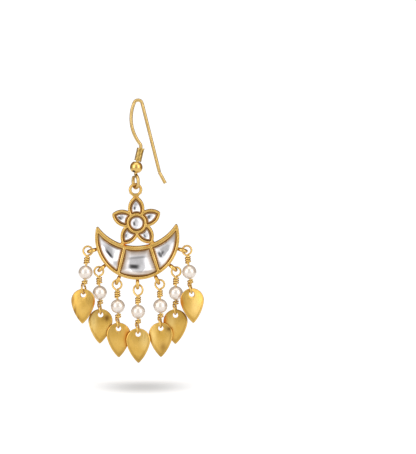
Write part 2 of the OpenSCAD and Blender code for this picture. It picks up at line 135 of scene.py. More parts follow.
def grown(source, tree, **values):
    """The plain mesh that a tree makes on an object; the object itself is used up."""
    modifier = source.modifiers.new(tree.name, "NODES")
    modifier.node_group = tree
    for socket in tree.interface.items_tree:
        value = values.get(socket.name.replace(" ", "_").lower())
        if socket.in_out == "INPUT" and value is not None:
            modifier[socket.identifier] = value
    depsgraph = bpy.context.evaluated_depsgraph_get()
    mesh = bpy.data.meshes.new_from_object(source.evaluated_get(depsgraph))
    source.modifiers.remove(modifier)
    bpy.data.objects.remove(source)
    return mesh


def piece_of(name, mesh, body, scale=MM, place=Matrix.Identity(4)):
    """The finished piece of a CAD node: millimetres go to metres, its place goes into the mesh."""
    mesh.transform(Matrix.Scale(scale, 4) @ place)
    mesh.name = name + "_piece"
    made = new_object(name + "_piece", mesh)
    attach(made, body)
    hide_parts(name)
    return made


def round_ends(path, thickness, thinnest=0.12):
    """The path with a filed round end at both ends: the wire narrows over half its thickness."""
    def end(tip, after):
        way = (Vector(after) - Vector(tip)).normalized()
        return [(*(Vector(tip) + way * thickness / 2 * (1 - math.cos(a))), max(math.sin(a), thinnest))
                for a in (0, math.radians(30), math.radians(60))]
    return end(path[0], path[1]) + [(*p, 1.0) for p in path[1:-1]] + end(path[-1], path[-2])[::-1]


def bent_wire(place, rows, straight_steps=8, bend_step=6):
    """Points of a wire that starts at a place heading along its Z.
    A row is a straight's length, the radius and turn of the bend after it, and the twist before that bend."""
    points = []
    for straight, radius, turn, twist in rows:
        if straight > 0:
            points += [place @ Vector((0, 0, straight * i / straight_steps)) for i in range(straight_steps)]
        place = place @ Matrix.Translation((0, 0, straight)) @ rotated(twist, "Z")
        steps = max(2, math.ceil(turn / bend_step))
        bend = [(radius * (1 - math.cos(math.radians(turn) * i / steps)), 0,
                 radius * math.sin(math.radians(turn) * i / steps)) for i in range(steps + 1)]
        points += [place @ Vector(p) for p in bend[:-1]]
        place = place @ Matrix.Translation(bend[-1]) @ rotated(turn, "Y")
    return points + [place.translation.copy()], place


def new_material(name):
    """A material with its node tree, its shader and where its noise is laid: from the object's own origin."""
    material = bpy.data.materials.new(name)
    material.use_nodes = True
    tree = material.node_tree
    place = add_node(tree, "ShaderNodeTexCoord").outputs["Object"]
    return material, tree, tree.nodes["Principled BSDF"], place


def two_tones(tree, value, low, low_tone, high, high_tone):
    """One tone up to the low value, another from the high value on, and a blend between."""
    ramp = add_node(tree, "ShaderNodeValToRGB", {"Fac": value})
    for stop, at, tone in zip(ramp.color_ramp.elements, (low, high), (low_tone, high_tone)):
        stop.position, stop.color = at, (*tone, 1)
    return ramp.outputs["Color"]


def mapped(tree, value, low, high, at_low, at_high, **settings):
    """A value carried over from one range to another, and held at the ends."""
    ends = {"Value": value, "From Min": low, "From Max": high, "To Min": at_low, "To Max": at_high}
    return add_node(tree, "ShaderNodeMapRange", ends, **settings).outputs[0]


def gold(name, light, deep, roughness, patch, grain, cut, stretch=(1, 1, 1), painted_light=False):
    """Gold whose tone changes slowly over a patch, with finish marks of a grain size and a cut depth in mm.
    A piece with painted light carries a colour attribute for it: the tone of its painted shade, reflection or
    highlight, and in its alpha how much of it shows."""
    material, tree, shader, place = new_material(name)
    tone = add_node(tree, "ShaderNodeTexNoise", {"Vector": place, "Scale": 1 / (patch * MM), "Detail": 3.0})
    colour = two_tones(tree, tone.outputs["Fac"], 0.32, deep, 0.68, light)
    if painted_light:
        dark = add_node(tree, "ShaderNodeAttribute", attribute_name="painted_light")
        mixed = add_node(tree, "ShaderNodeMix", data_type="RGBA")
        tree.links.new(dark.outputs["Alpha"], mixed.inputs["Factor"])
        tree.links.new(colour, mixed.inputs[6])
        tree.links.new(dark.outputs["Color"], mixed.inputs[7])
        colour = mixed.outputs[2]
    tree.links.new(colour, shader.inputs["Base Color"])
    marks_place = add_node(tree, "ShaderNodeMapping", {"Vector": place, "Scale": stretch})
    marks = add_node(tree, "ShaderNodeTexNoise",
                     {"Vector": marks_place.outputs[0], "Scale": 1 / (grain * MM), "Detail": 4.0})
    dull = mapped(tree, marks.outputs["Fac"], 0.3, 0.7, roughness * 0.75, roughness * 1.3)
    tree.links.new(dull, shader.inputs["Roughness"])
    bump = add_node(tree, "ShaderNodeBump",
                    {"Height": marks.outputs["Fac"], "Strength": 1.0, "Distance": cut * MM})
    tree.links.new(bump.outputs[0], shader.inputs["Normal"])
    shader.inputs["Metallic"].default_value = 1.0
    return material


def paint_light(mesh, tones):
    """Give each point of a mesh its painted light: the tone of painted shade, reflection or highlight in red,
    green, blue, and how much of it shows.
    """
    painted_light = mesh.attributes.new("painted_light", "FLOAT_COLOR", "POINT")
    painted_light.data.foreach_set("color", [n for tone in tones for n in tone])


hook_gold = gold("hook_gold", (0.66, 0.47, 0.195), (0.56, 0.375, 0.125), 0.34, 3.0, 0.5, 0.0003, painted_light=True)
crown_top = Vector((0, 0, wire_thick / 2))


def bent_point(point, heading, radius, turn, left=1):
    h, e = math.radians(heading), math.radians(heading + left * turn)
    return point + left * radius * Vector((math.sin(e) - math.sin(h), 0, math.cos(h) - math.cos(e)))


bow_start = bent_point(crown_top, 180, crown_r, crown_turn)
bow_end = bent_point(bow_start, 180 + crown_turn, bow_r, bow_turn)
stem_top = bent_point(bow_end, 180 + crown_turn + bow_turn, neck_bend_r, neck_turn, -1)
over_ear = Matrix.Translation(bow_start) @ rotated(90 - crown_turn, "Y")
back_path, _ = bent_wire(over_ear, [(0, crown_r, crown_turn + back_turn, 0),
                                    (back_leg, tip_bend_r, tip_turn, 180), (tip_length, 0, 0, 0)])
front_path, _ = bent_wire(over_ear @ Matrix.Rotation(math.pi, 4, "X"), [
    (0, bow_r, bow_turn, 0), (0, neck_bend_r, neck_turn, 180),
    (upright_length, upright_bend_r, upright_lean, 180),
    (under_ball, loop_bend_r, loop_bend_turn, loop_away), (0, loop_r, loop_sweep, 180)])
hook_path = round_ends(front_path[:0:-1] + back_path[:-1], wire_thick)
hook_mesh = grown(path_object([hook_path]), wire_tree, wire_thickness=wire_thick, sides=20,
                  steps_between_points=2, material=hook_gold)
loop_drop = math.sqrt(loop_r ** 2 + 2 * loop_bend_r * loop_r)
upright_angle = math.radians(upright_lean)
upright_way = Vector((-math.sin(upright_angle), 0, -math.cos(upright_angle)))
under_upright = bent_point(stem_top + upright_length * upright_way, 270 - upright_lean, upright_bend_r,
                           upright_lean)
loop_low = under_upright - Vector((0, 0, under_ball + loop_drop + loop_r))
# Painted shade: an orange-brown patch on the inside of the loop's low point, where the frame's ring hangs on
# it.
contact_shade_left, contact_shade_size, contact_shade_tone, contact_shade_share = 0.1, 0.8, (0.62, 0.3, 0.05), 0.75
contact_shade_spot = loop_low + Vector((-contact_shade_left, 0, wire_thick / 2))
paint_light(hook_mesh, [(*contact_shade_tone, contact_shade_share * math.exp(-((v.co - contact_shade_spot).length / contact_shade_size) ** 2))
                 for v in hook_mesh.vertices])
piece_of("ear_hook", hook_mesh, "hook")


# Coil: fine gold wire wound ten times round the hook's upright, above the ball.
# The turns lie close together, painted with brown shade everywhere but along their outer crest, and the first
# end flares a little away from the wire.
coil_thick, coil_turns, coil_gap, coil_play = 0.3, 10, 0.2, 0.01
coil_first, coil_first_turn, coil_flare, coil_flare_steps, coil_steps = 0.12, 200, 0.18, 3, 16
coil_shade_tone, coil_shade_depth = (0.24, 0.10, 0.012), 0.09
bright_gold = gold("bright_gold", (0.78, 0.57, 0.20), (0.64, 0.43, 0.11), 0.22, 1.5, 0.3, 0.0003, painted_light=True)
on_stem = Matrix.Translation(stem_top) @ rotated(180 + upright_lean, "Y")
coil_r = (wire_thick + coil_thick) / 2 + coil_gap
coil_path = []
for i in range(coil_turns * coil_steps + 1):
    out = coil_r + coil_flare * max(0, 1 - i / coil_flare_steps)
    a = math.radians(coil_first_turn + 360 * i / coil_steps)
    down = coil_first + (coil_thick + coil_play) * i / coil_steps
    coil_path.append(Vector((out * math.cos(a), out * math.sin(a), down)))
coil_mesh = grown(path_object([round_ends(coil_path, coil_thick)]), wire_tree, wire_thickness=coil_thick,
                  sides=12, steps_between_points=2, material=bright_gold)
# Painted shade: brown on all but the outer crest of each turn.
paint_light(coil_mesh, [(*coil_shade_tone, held((coil_r + coil_thick / 2 - v.co.xy.length) / coil_shade_depth))
                 for v in coil_mesh.vertices])
piece_of("hook_coil", coil_mesh, "hook", place=on_stem)


# Ball: a hollow-drilled round gold bead threaded on the upright under the coil.
# It is polished, with a rounded lip where the bore comes out and a small near-black spot of painted shade low
# on its front.
ball_size, ball_bore, ball_up, ball_tilt, ball_lip = 3.0, 1.4, 0.42, 5, 0.1


def drilled_bead(size, bore, lip, around, name, slope=40):
    """A bead turned on a lathe: its skin, a rounded lip at each end and the bore back through it."""
    r, hole = size / 2, bore / 2
    lip_middle_r = hole + lip
    lip_middle_z = math.sqrt((r - lip) ** 2 - lip_middle_r ** 2)
    lip_angle = math.atan2(lip_middle_z, lip_middle_r)
    profile = [(r * math.cos(a), r * math.sin(a))
               for a in (-lip_angle + 2 * lip_angle * i / slope for i in range(slope + 1))]
    arc = [lip_angle + (math.pi - lip_angle) * i / 6 for i in range(1, 7)]
    profile += [(lip_middle_r + lip * math.cos(a), lip_middle_z + lip * math.sin(a)) for a in arc]
    profile += [(p[0], -p[1]) for p in profile[:slope:-1]]
    count = len(profile)
    points = [(x * math.cos(2 * math.pi * k / around), x * math.sin(2 * math.pi * k / around), z)
              for k in range(around) for x, z in profile]
    faces = [(k * count + i, (k + 1) % around * count + i, (k + 1) % around * count + (i + 1) % count,
              k * count + (i + 1) % count) for k in range(around) for i in range(count)]
    mesh = bpy.data.meshes.new(name)
    mesh.from_pydata(points, [], faces)
    mesh.shade_smooth()
    return mesh


ball_gold = gold("ball_gold", (0.72, 0.475, 0.15), (0.64, 0.40, 0.10), 0.25, 2.0, 0.4, 0.0003, painted_light=True)
ball = drilled_bead(ball_size, ball_bore, ball_lip, 64, "ball")
ball.materials.append(ball_gold)
ball_place = on_stem @ Matrix.Translation((0, 0, upright_length - ball_up)) @ rotated(-ball_tilt, "Y")
shade_spot_way, shade_spot_size, shade_spot_tone = Vector((-0.4, -0.66, -0.64)), 0.45, (0.01, 0.005, 0.005)
ball_shade_spot = ball_place.translation + ball_size / 2 * shade_spot_way
# Painted shade: a near-black spot low on the ball's front.
paint_light(ball, [(*shade_spot_tone, math.exp(-((ball_place @ v.co - ball_shade_spot).length / shade_spot_size) ** 4))
            for v in ball.vertices])
piece_of("hook_ball", ball, "hook", place=ball_place)


# Frame: gold, soldered into one piece. A back plate cut to the flower and the crescent carries upright
# strips bent around each stone; a ring with a flared neck hangs it, and seven eyes stand out below.
frame_deep, plate_thick, frame_lean = 2.2, 0.6, 2
ring_r, ring_thick, neck_width, neck_thick = 1.28, 0.72, 1.35, 0.66
neck_side_r, neck_side_y = 1.1, -1.95
flower_drop, center_size, flower_wall = 7.97, 4.8, 0.55
petal_arc_r, petal_arc_offset, petal_reach = 3.38, 1.42, 3.0
petal_turns = [0, 68, 144, -144, -68]
petal_outs = [0.45, 0.2, 0, 0, 0.1]
crescent_r, crescent_top_r, crescent_height = 10.08, 11.16, 8.02
top_wall, low_wall, divider_width, divider_out, divider_lean = 0.9, 0.65, 0.67, 3.19, 15.6
eye_middle, eye_step, eye_out, eye_r, eye_thick = 268.3, 24.65, 1.22, 0.88, 0.74
eye_wide, eye_stalk, eye_stalk_in = 0.86, 1.6, 0.3
horn_round, solder_size, solder_in, tip_gap = 0.33, 0.62, 0.14, 0.046
strip_round, hang_gap, hang_left = 0.22, 0.08, 0.05
skin_step, frame_triangles = 0.08, 185000

ring_middle = loop_low - Vector((hang_left, 0, ring_r - ring_thick / 2 - wire_thick / 2 - hang_gap))
hung = Matrix.Translation(ring_middle) @ rotated(-frame_lean, "Y")
facing = Matrix(((1, 0, 0, 0), (0, 0, -1, 0), (0, 1, 0, 0), (0, 0, 0, 1)))
flower_middle = Vector((0, -flower_drop))


def spun(point, angle):
    return Matrix.Rotation(math.radians(angle), 2) @ Vector(point)


def on_circle(middle, radius, angle):
    return middle + radius * Vector((math.cos(math.radians(angle)), math.sin(math.radians(angle))))


def full_circle(middle, radius, count):
    return [on_circle(middle, radius, 360 * i / count) for i in range(count)]


def arc(middle, start, end, count):
    """Points of the shorter arc about a middle from one point to another, both included."""
    r = (start - middle).length
    a = math.degrees(math.atan2(*(start - middle).yx))
    sweep = (math.degrees(math.atan2(*(end - middle).yx)) - a + 180) % 360 - 180
    return [on_circle(middle, r, a + sweep * i / count) for i in range(count + 1)]


petal_tip = petal_reach + math.sqrt(petal_arc_r ** 2 - petal_arc_offset ** 2)
low_tip = flower_middle + spun((0, petal_tip), -petal_turns[2])
top_middle = Vector((0, low_tip.y - tip_gap + math.sqrt(crescent_top_r ** 2 - low_tip.x ** 2)))
crescent_rise = crescent_top_r - crescent_r + crescent_height
low_middle = top_middle - Vector((0, crescent_rise))


def arcs_meet(low, top):
    """Where a circle about the lower arc's middle crosses one about the upper arc's middle, on the right."""
    h = (low ** 2 - top ** 2 + crescent_rise ** 2) / (2 * crescent_rise)
    return low_middle + Vector((math.sqrt(low ** 2 - h ** 2), h))


def mirrored(points):
    return [Vector((-p.x, p.y)) for p in reversed(points)]


def petal_side(inset, core, out):
    """Left side of a petal, from the round setting of that radius out to the petal's tip."""
    r = petal_arc_r - inset
    middle = Vector((petal_arc_offset, petal_reach + out))
    d = middle.length
    a = (core ** 2 - r ** 2 + d ** 2) / (2 * d)
    root = middle / d * a + Vector((-middle.y, middle.x)) / d * math.sqrt(core ** 2 - a ** 2)
    return arc(middle, root, Vector((0, middle.y + math.sqrt(r ** 2 - petal_arc_offset ** 2))), 20)


def petal_outline(inset, core, out):
    side = petal_side(inset, core, out)
    return side + mirrored(side)[1:]


def crescent_outline(inset, end_r=horn_round):
    """Upper edge from left to right, a round horn, the lower edge back and the other horn."""
    horn = arcs_meet(crescent_r - inset - end_r, crescent_top_r + inset + end_r)
    from_top = top_middle + (horn - top_middle).normalized() * (crescent_top_r + inset)
    from_low = low_middle + (horn - low_middle).normalized() * (crescent_r - inset)
    tip = horn + ((horn - low_middle).normalized() + (top_middle - horn).normalized()).normalized() * end_r
    horn_points = arc(horn, from_top, tip, 4)[1:] + arc(horn, tip, from_low, 4)[1:-1]
    bottom = low_middle - Vector((0, crescent_r - inset))
    return (arc(top_middle, Vector((-from_top.x, from_top.y)), from_top, 60) + horn_points
            + arc(low_middle, from_low, bottom, 40)[:-1]
            + arc(low_middle, bottom, Vector((-from_low.x, from_low.y)), 40) + mirrored(horn_points))


# Upright strip bent along a path, with softly rounded edges
strip_tree, given = new_tree("bezel_strip_along_path", {
    "Path": "NodeSocketGeometry", "Strip width": "NodeSocketFloat", "Strip height": "NodeSocketFloat",
    "Edge round": "NodeSocketFloat", "Material": "NodeSocketMaterial"})
line = add_node(strip_tree, "GeometryNodeMeshToCurve", {"Mesh": given["Path"]})
level = add_node(strip_tree, "GeometryNodeSetCurveNormal", {"Curve": line.outputs[0]}, mode="Z_UP")
section = add_node(strip_tree, "GeometryNodeCurvePrimitiveQuadrilateral",
                   {"Width": given["Strip width"], "Height": given["Strip height"]}, mode="RECTANGLE")
eased = add_node(strip_tree, "GeometryNodeFilletCurve",
                 {"Curve": section.outputs[0], "Count": 4, "Radius": given["Edge round"]}, mode="POLY")
strip = add_node(strip_tree, "GeometryNodeCurveToMesh",
                 {"Curve": level.outputs[0], "Profile Curve": eased.outputs[0], "Fill Caps": True})
end_tree(strip_tree, strip.outputs[0], given["Material"])

# Flat plate cut to a closed outline
plate_tree, given = new_tree("plate_from_outline", {
    "Outline": "NodeSocketGeometry", "Thickness": "NodeSocketFloat", "Base height": "NodeSocketVector",
    "Material": "NodeSocketMaterial"})
line = add_node(plate_tree, "GeometryNodeMeshToCurve", {"Mesh": given["Outline"]})
filled = add_node(plate_tree, "GeometryNodeFillCurve", {"Curve": line.outputs[0]}, mode="NGONS")
sheet = add_node(plate_tree, "GeometryNodeSetPosition",
                 {"Geometry": filled.outputs[0], "Offset": given["Base height"]})
turned = add_node(plate_tree, "GeometryNodeFlipFaces", {"Mesh": sheet.outputs[0]})
raised = add_node(plate_tree, "GeometryNodeExtrudeMesh",
                  {"Mesh": sheet.outputs[0], "Offset Scale": given["Thickness"], "Individual": False})
both = add_node(plate_tree, "GeometryNodeJoinGeometry", {"Geometry": turned.outputs[0]})
plate_tree.links.new(raised.outputs[0], both.inputs[0])
closed_plate = add_node(plate_tree, "GeometryNodeMergeByDistance",
                        {"Geometry": both.outputs[0], "Distance": 0.001})
end_tree(plate_tree, closed_plate.outputs[0], given["Material"])

frame_gold = gold("frame_gold", (0.72, 0.475, 0.15), (0.61, 0.37, 0.093), 0.3, 2.5, 0.5, 0.001, painted_light=True)


def laid(points, height):
    return [(p[0], p[1], height) for p in points]


def strips(paths, width, low, high, closed=False):
    return grown(path_object([laid(p, (low + high) / 2) for p in paths], closed), strip_tree,
                 strip_width=width, strip_height=high - low, edge_round=strip_round, material=frame_gold)


def plates(outline, low, high):
    return grown(path_object([laid(outline, 0)], True), plate_tree, thickness=high - low,
                 base_height=(0, 0, low), material=frame_gold)


back, front = -frame_deep / 2, frame_deep / 2
petal_frames = [Matrix.Rotation(math.radians(a), 2) for a in petal_turns]


def set_in_flower(points, turn):
    return [flower_middle + turn @ p for p in points]


petal_lines = [set_in_flower(petal_outline(flower_wall / 2, center_size / 2 - flower_wall / 2, out), turn)
               for turn, out in zip(petal_frames, petal_outs)]
center_ring = full_circle(flower_middle, (center_size - flower_wall) / 2, 96)
parts = [strips(petal_lines, flower_wall, back, front),
         strips([center_ring], flower_wall, back, front, True)]
plate_in, plate_lap, plate_top = 0.05, 0.5, back + plate_thick
plate_core = center_size / 2 - plate_lap
parts += [plates(set_in_flower(petal_outline(plate_in, plate_core, out), turn), back, plate_top)
          for turn, out in zip(petal_frames, petal_outs)]
parts.append(plates(full_circle(flower_middle, center_size / 2 - plate_in, 96), back, plate_top))

horn = arcs_meet(crescent_r - horn_round, crescent_top_r + horn_round)
low_end = low_middle + (horn - low_middle).normalized() * (crescent_r - low_wall / 2)
low_bottom = low_middle - Vector((0, crescent_r - low_wall / 2))
low_line = (arc(low_middle, Vector((-low_end.x, low_end.y)), low_bottom, 60)[:-1]
            + arc(low_middle, low_bottom, low_end, 60))
edge_width, edge_lap, edge_up = 0.34, 0.12, 0.06
inner_width = top_wall - edge_width + edge_lap


def top_line(inset):
    end = top_middle + (horn - top_middle).normalized() * (crescent_top_r + inset)
    return arc(top_middle, Vector((-end.x, end.y)), end, 90)


parts += [strips([low_line], low_wall, back, front),
          strips([top_line(edge_width / 2)], edge_width, back, front),
          strips([top_line(top_wall - inner_width / 2)], inner_width, back, front - edge_up),
          plates(crescent_outline(plate_in), back, plate_top)]
divider_down = math.sqrt((crescent_top_r + top_wall) ** 2 - divider_out ** 2)
divider_top = top_middle + Vector((divider_out, -divider_down))
divider_way = spun((0, -1), divider_lean)
top_lap, foot_lap = 0.4, 0.3


def line_meets(point, way, middle, radius):
    """Where a straight line leaves a circle."""
    w = point - middle
    b = w.dot(way)
    return point + way * (math.sqrt(b * b - w.length_squared + radius ** 2) - b)


divider_foot = line_meets(divider_top, divider_way, low_middle, crescent_r - foot_lap)
divider_line = [divider_top - divider_way * top_lap, divider_foot]
parts.append(strips([divider_line, mirrored(divider_line)], divider_width, back, front))


def wires(paths, thickness, closed=False, sides=16, steps=2):
    return grown(path_object(paths, closed), wire_tree, wire_thickness=thickness, sides=sides,
                 steps_between_points=steps, material=frame_gold)


parts.append(wires([laid(full_circle(Vector((0, 0)), ring_r, 48), 0)], ring_thick, True))
neck_low = flower_middle.y + petal_tip + petal_outs[0] - flower_wall / 2
neck_sides = [on_circle(Vector((neck_width / 2 + neck_side_r, neck_side_y)), neck_side_r, a)
              for a in range(100, 261, 10)]
neck_top_x, neck_top_in, neck_low_in = 0.2, 0.1, 0.3
neck_outline = ([Vector((neck_top_x, -ring_r + neck_top_in))] + neck_sides
                + [Vector((0, neck_low - neck_low_in))])
parts.append(plates(mirrored(neck_outline[1:]) + neck_outline[1:-1], -neck_thick / 2, neck_thick / 2))
horn_posts = [horn, Vector((-horn.x, horn.y))]
parts += [plates(full_circle(p, horn_round, 24), back, front) for p in horn_posts]
solder_dots = [flower_middle + spun((0, petal_tip - solder_in), side * petal_turns[2]) for side in (-1, 1)]
solder_ease, solder_top = 0.08, front - 0.25
parts += [plates(full_circle(dot, solder_size - solder_ease, 24), back, solder_top) for dot in solder_dots]


def eye_place(i):
    """Turned and moved to the hole of eye i; X runs outwards."""
    a = eye_middle + eye_step * (i - 4)
    middle = on_circle(low_middle, crescent_r + eye_out, a)
    return Matrix.Translation((middle.x, middle.y, 0)) @ rotated(a, "Z")


eye_turns = [math.radians(eye_middle + eye_step * (i - 4)) for i in range(1, 8)]
eye_rings = [[eye_place(i) @ Vector((eye_r * math.cos(a), 0, eye_r * math.sin(a)))
              for a in (2 * math.pi * k / 32 for k in range(32))] for i in range(1, 8)]
parts += [wires([[p + Vector((-math.sin(a), math.cos(a), 0)) * shift for p in ring]
                 for ring, a in zip(eye_rings, eye_turns)], eye_thick, True)
          for shift in (-(eye_wide - eye_thick) / 2, (eye_wide - eye_thick) / 2)]
stalks = [[(*(eye_place(i) @ Vector((-eye_out - eye_stalk_in + t * (eye_out + eye_stalk_in - eye_r), 0, 0))),
            (eye_wide + (1 - t) * (eye_stalk - eye_wide)) / eye_thick) for t in (0, 0.35, 0.7, 1)]
          for i in range(1, 8)]
parts.append(wires(stalks, eye_thick))

raw = bmesh.new()
for part in parts:
    raw.from_mesh(part)
frame_mesh = bpy.data.meshes.new("frame_raw")
bmesh.ops.recalc_face_normals(raw, faces=raw.faces)
raw.to_mesh(frame_mesh)
raw.free()
soldered = new_object("frame_raw", frame_mesh)
skin = soldered.modifiers.new("skin", "REMESH")
skin.mode, skin.voxel_size = "VOXEL", skin_step
ease = soldered.modifiers.new("ease", "SMOOTH")
ease.factor, ease.iterations = 0.5, 6
skinned = bpy.data.meshes.new_from_object(soldered.evaluated_get(bpy.context.evaluated_depsgraph_get()))
triangles = sum(len(p.vertices) - 2 for p in skinned.polygons)
thinned = soldered.modifiers.new("thinned", "DECIMATE")
thinned.ratio = min(1.0, frame_triangles / triangles)
skinned = bpy.data.meshes.new_from_object(soldered.evaluated_get(bpy.context.evaluated_depsgraph_get()))
bpy.data.objects.remove(soldered)
skinned.materials.clear()
skinned.materials.append(frame_gold)
skinned.shade_smooth()


# Painted shade on the frame, laid into the colour attribute that its gold reads.
painted_shade_brown, solder_shade_tone, ring_shade_tone = (0.45, 0.25, 0.06), (0.62, 0.17, 0.005), (0.45, 0.2, 0.03)
back_shade_share, eye_shade_share, ring_shade_share, most_shade_share = 0.1, 0.3, 0.65, 0.95
solder_shade_spots, solder_shade_size = [Vector((-2.86, -13.0)), Vector((2.31, -13.06))], 0.5
ring_shade_spots, neck_y = [(-1.9, 0.35), (0.9, 0.6)], -2.2
eye_deep, eye_shade_from, eye_shade_fade, gap_bright, gap_fade = 1.3, 1.3, 0.5, 0.07, 0.32
back_skin, edge_slack, eyes_under, least_spot = 0.2, 0.1, 2, 0.1


def frame_painted_shade(p):
    """Painted shade in a brown tone: in the gaps beside the stones and down the frame's sides, darker the
    deeper it lies, and growing toward the ends of the eyes. A redder painted shade lies at the flower's solder
    and a darker one on the ring where the hook's loop passes; the back takes only a little."""
    if p.z < back + back_skin:
        return *painted_shade_brown, back_shade_share
    past_edge = (p.xy - low_middle).length - crescent_r
    if past_edge > edge_slack and p.y < low_middle.y + eyes_under and abs(p.z) < eye_deep:
        return *painted_shade_brown, eye_shade_share * held((past_edge - eye_shade_from) / eye_shade_fade)
    if p.y > neck_y:
        return *ring_shade_tone, ring_shade_share * max(math.exp(-((p.xy - Vector((0, y))).length / size) ** 2)
                                            for y, size in ring_shade_spots)
    spot = max(math.exp(-((p.xy - mark).length / solder_shade_size) ** 4) for mark in solder_shade_spots)
    if spot > least_spot:
        return *solder_shade_tone, most_shade_share * spot
    return *painted_shade_brown, min(most_shade_share, max(0.0, (front - gap_bright - p.z) / gap_fade))


paint_light(skinned, [frame_painted_shade(v.co) for v in skinned.vertices])
piece_of("frame", skinned, "pendant", place=hung @ facing)


# Stones: clear cut crystal over silver foil, one in each cell of the frame.
# Each has a table and broad facets. Light and dark patches of painted reflection lie over the foil's tone, its
# low border carries a painted reflection of the brown gold wall beside it, and it glows a little.
setting_gap, stone_low = 0.06, back + plate_thick + 0.05
girdle_up, table_up = back + plate_thick + 0.86, back + plate_thick + 1.38
border, crown, tone_grid = 0.34, 0.2, 0.13
bevel_middle, bevel_top, brown_to, brown_fade, clear_from = 0.12, 0.2, 0.2, 0.12, 0.28
small_clearing, long_clearing, middle_clearing = 0.3, 0.45, 1.25
wall_reflection_brown, border_reflection_pink, plain_tone = (0.30, 0.175, 0.055), (0.41, 0.32, 0.245), 0.9


def crystal(name):
    material, tree, shader, place = new_material(name)
    foil_and_painted_reflections = add_node(tree, "ShaderNodeAttribute", attribute_name="foil_and_painted_reflections")
    cloud = add_node(tree, "ShaderNodeTexNoise", {"Vector": place, "Scale": 700.0, "Detail": 2.0})
    veil = mapped(tree, cloud.outputs["Fac"], 0.3, 0.7, 0.82, 1.0)
    tone = add_node(tree, "ShaderNodeVectorMath", {0: foil_and_painted_reflections.outputs["Color"], "Scale": veil},
                    operation="SCALE")
    tree.links.new(tone.outputs[0], shader.inputs["Base Color"])
    dull = mapped(tree, cloud.outputs["Fac"], 0.0, 1.0, 0.06, 0.2)
    tree.links.new(dull, shader.inputs["Roughness"])
    # Painted glow: the stone gives off light in its own tone.
    tree.links.new(tone.outputs[0], shader.inputs["Emission Color"])
    shader.inputs["Emission Strength"].default_value = 0.36
    shader.inputs["Metallic"].default_value = 1.0
    shader.inputs["Coat Weight"].default_value = 0.2
    shader.inputs["Coat Roughness"].default_value = 0.05
    return material


stone_crystal = crystal("stone_crystal")


def cut_stone(name, outline, middle, facets, marks, clearing, place=Matrix.Identity(4)):
    """A stone from its outline as a function of the inset.
    A facet is a row of direction, slope and distance from the middle at the table's height.
    A mark is a soft-edged patch of painted reflection, light or dark, over the foil's tone, placed from the
    middle of the frame's ring: x, y, half width, half height, turn and tone. The low border carries a painted
    reflection of the brown gold wall, which turns to the foil's tone over the clearing."""
    shape = bmesh.new()
    steps = [(stone_low, 0), (girdle_up, 0), (girdle_up + bevel_middle, border / 2),
             (girdle_up + bevel_top, border), (table_up, border + crown)]
    rings = [[shape.verts.new((p.x, p.y, z)) for p in outline(setting_gap + inset)] for z, inset in steps]
    shape.faces.new(rings[-1])
    shape.faces.new(rings[0][::-1])
    for low, high in zip(rings, rings[1:]):
        for i in range(len(low)):
            k = (i + 1) % len(low)
            shape.faces.new((low[i], low[k], high[k], high[i]))
    cuts = []
    for direction, slope, distance in facets:
        d, tilt = math.radians(direction), math.radians(slope)
        normal = Vector((math.cos(d) * math.sin(tilt), math.sin(d) * math.sin(tilt), math.cos(tilt)))
        x, y = middle[0] + distance * math.cos(d), middle[1] + distance * math.sin(d)
        cuts.append((Vector((x, y, table_up)), normal))
    for point, normal in cuts:
        cut = bmesh.ops.bisect_plane(shape, geom=shape.verts[:] + shape.edges[:] + shape.faces[:], dist=1e-5,
                                     plane_co=point, plane_no=normal, clear_outer=True)
        rim = [e for e in cut["geom_cut"] if isinstance(e, bmesh.types.BMEdge)]
        bmesh.ops.holes_fill(shape, edges=rim, sides=0)
    for axis in (0, 1):
        low = min(v.co[axis] for v in shape.verts)
        for i in range(1, int((max(v.co[axis] for v in shape.verts) - low) / tone_grid) + 1):
            at, normal = Vector((0, 0, 0)), Vector((0, 0, 0))
            at[axis], normal[axis] = low + tone_grid * i, 1
            upper = [f for f in shape.faces if f.calc_center_median().z > girdle_up]
            bmesh.ops.bisect_plane(shape, geom=list({v for f in upper for v in f.verts})
                                   + list({e for f in upper for e in f.edges}) + upper, dist=1e-5,
                                   plane_co=at, plane_no=normal)
    bmesh.ops.remove_doubles(shape, verts=shape.verts[:], dist=1e-4)
    bmesh.ops.recalc_face_normals(shape, faces=shape.faces[:])
    tones = shape.loops.layers.float_color.new("foil_and_painted_reflections")
    foot = outline(setting_gap)
    wall = [p + (q - p) * i / 10 for p, q in zip(foot, foot[1:] + foot[:1]) for i in range(10)]
    near_wall = kdtree.KDTree(len(wall))
    for i, p in enumerate(wall):
        near_wall.insert((p.x, p.y, 0), i)
    near_wall.balance()
    # Painted reflections: each point takes the foil's tone with the listed light and dark patches over it, and
    # near the wall the brown of the gold wall.
    for face in shape.faces:
        for loop in face.loops:
            p = loop.vert.co
            q = (place @ p).xy
            tone = plain_tone
            for x, y, wide, high, turn, reflection_tone in marks:
                a = spun((q.x - x, q.y - y), -turn)
                tone += (reflection_tone - tone) * math.exp(-(a.x / wide) ** 4 - (a.y / high) ** 4)
            colour = Vector((tone, tone * 0.985, tone * 1.01))
            inset = near_wall.find((p.x, p.y, 0))[2]
            inner = held((inset - brown_to) / brown_fade)
            lift = held((inset - clear_from) / clearing) ** 1.5
            edge = Vector(wall_reflection_brown).lerp(Vector(border_reflection_pink), inner)
            loop[tones] = (*edge.lerp(colour, lift), 1)
    mesh = bpy.data.meshes.new(name)
    shape.to_mesh(mesh)
    shape.free()
    mesh.materials.append(stone_crystal)
    return mesh


def set_stone(name, mesh, place=Matrix.Identity(4)):
    piece_of(name, mesh, "pendant", place=hung @ facing @ place)


def in_flower(turn):
    return Matrix.Translation((*flower_middle, 0)) @ rotated(turn, "Z")


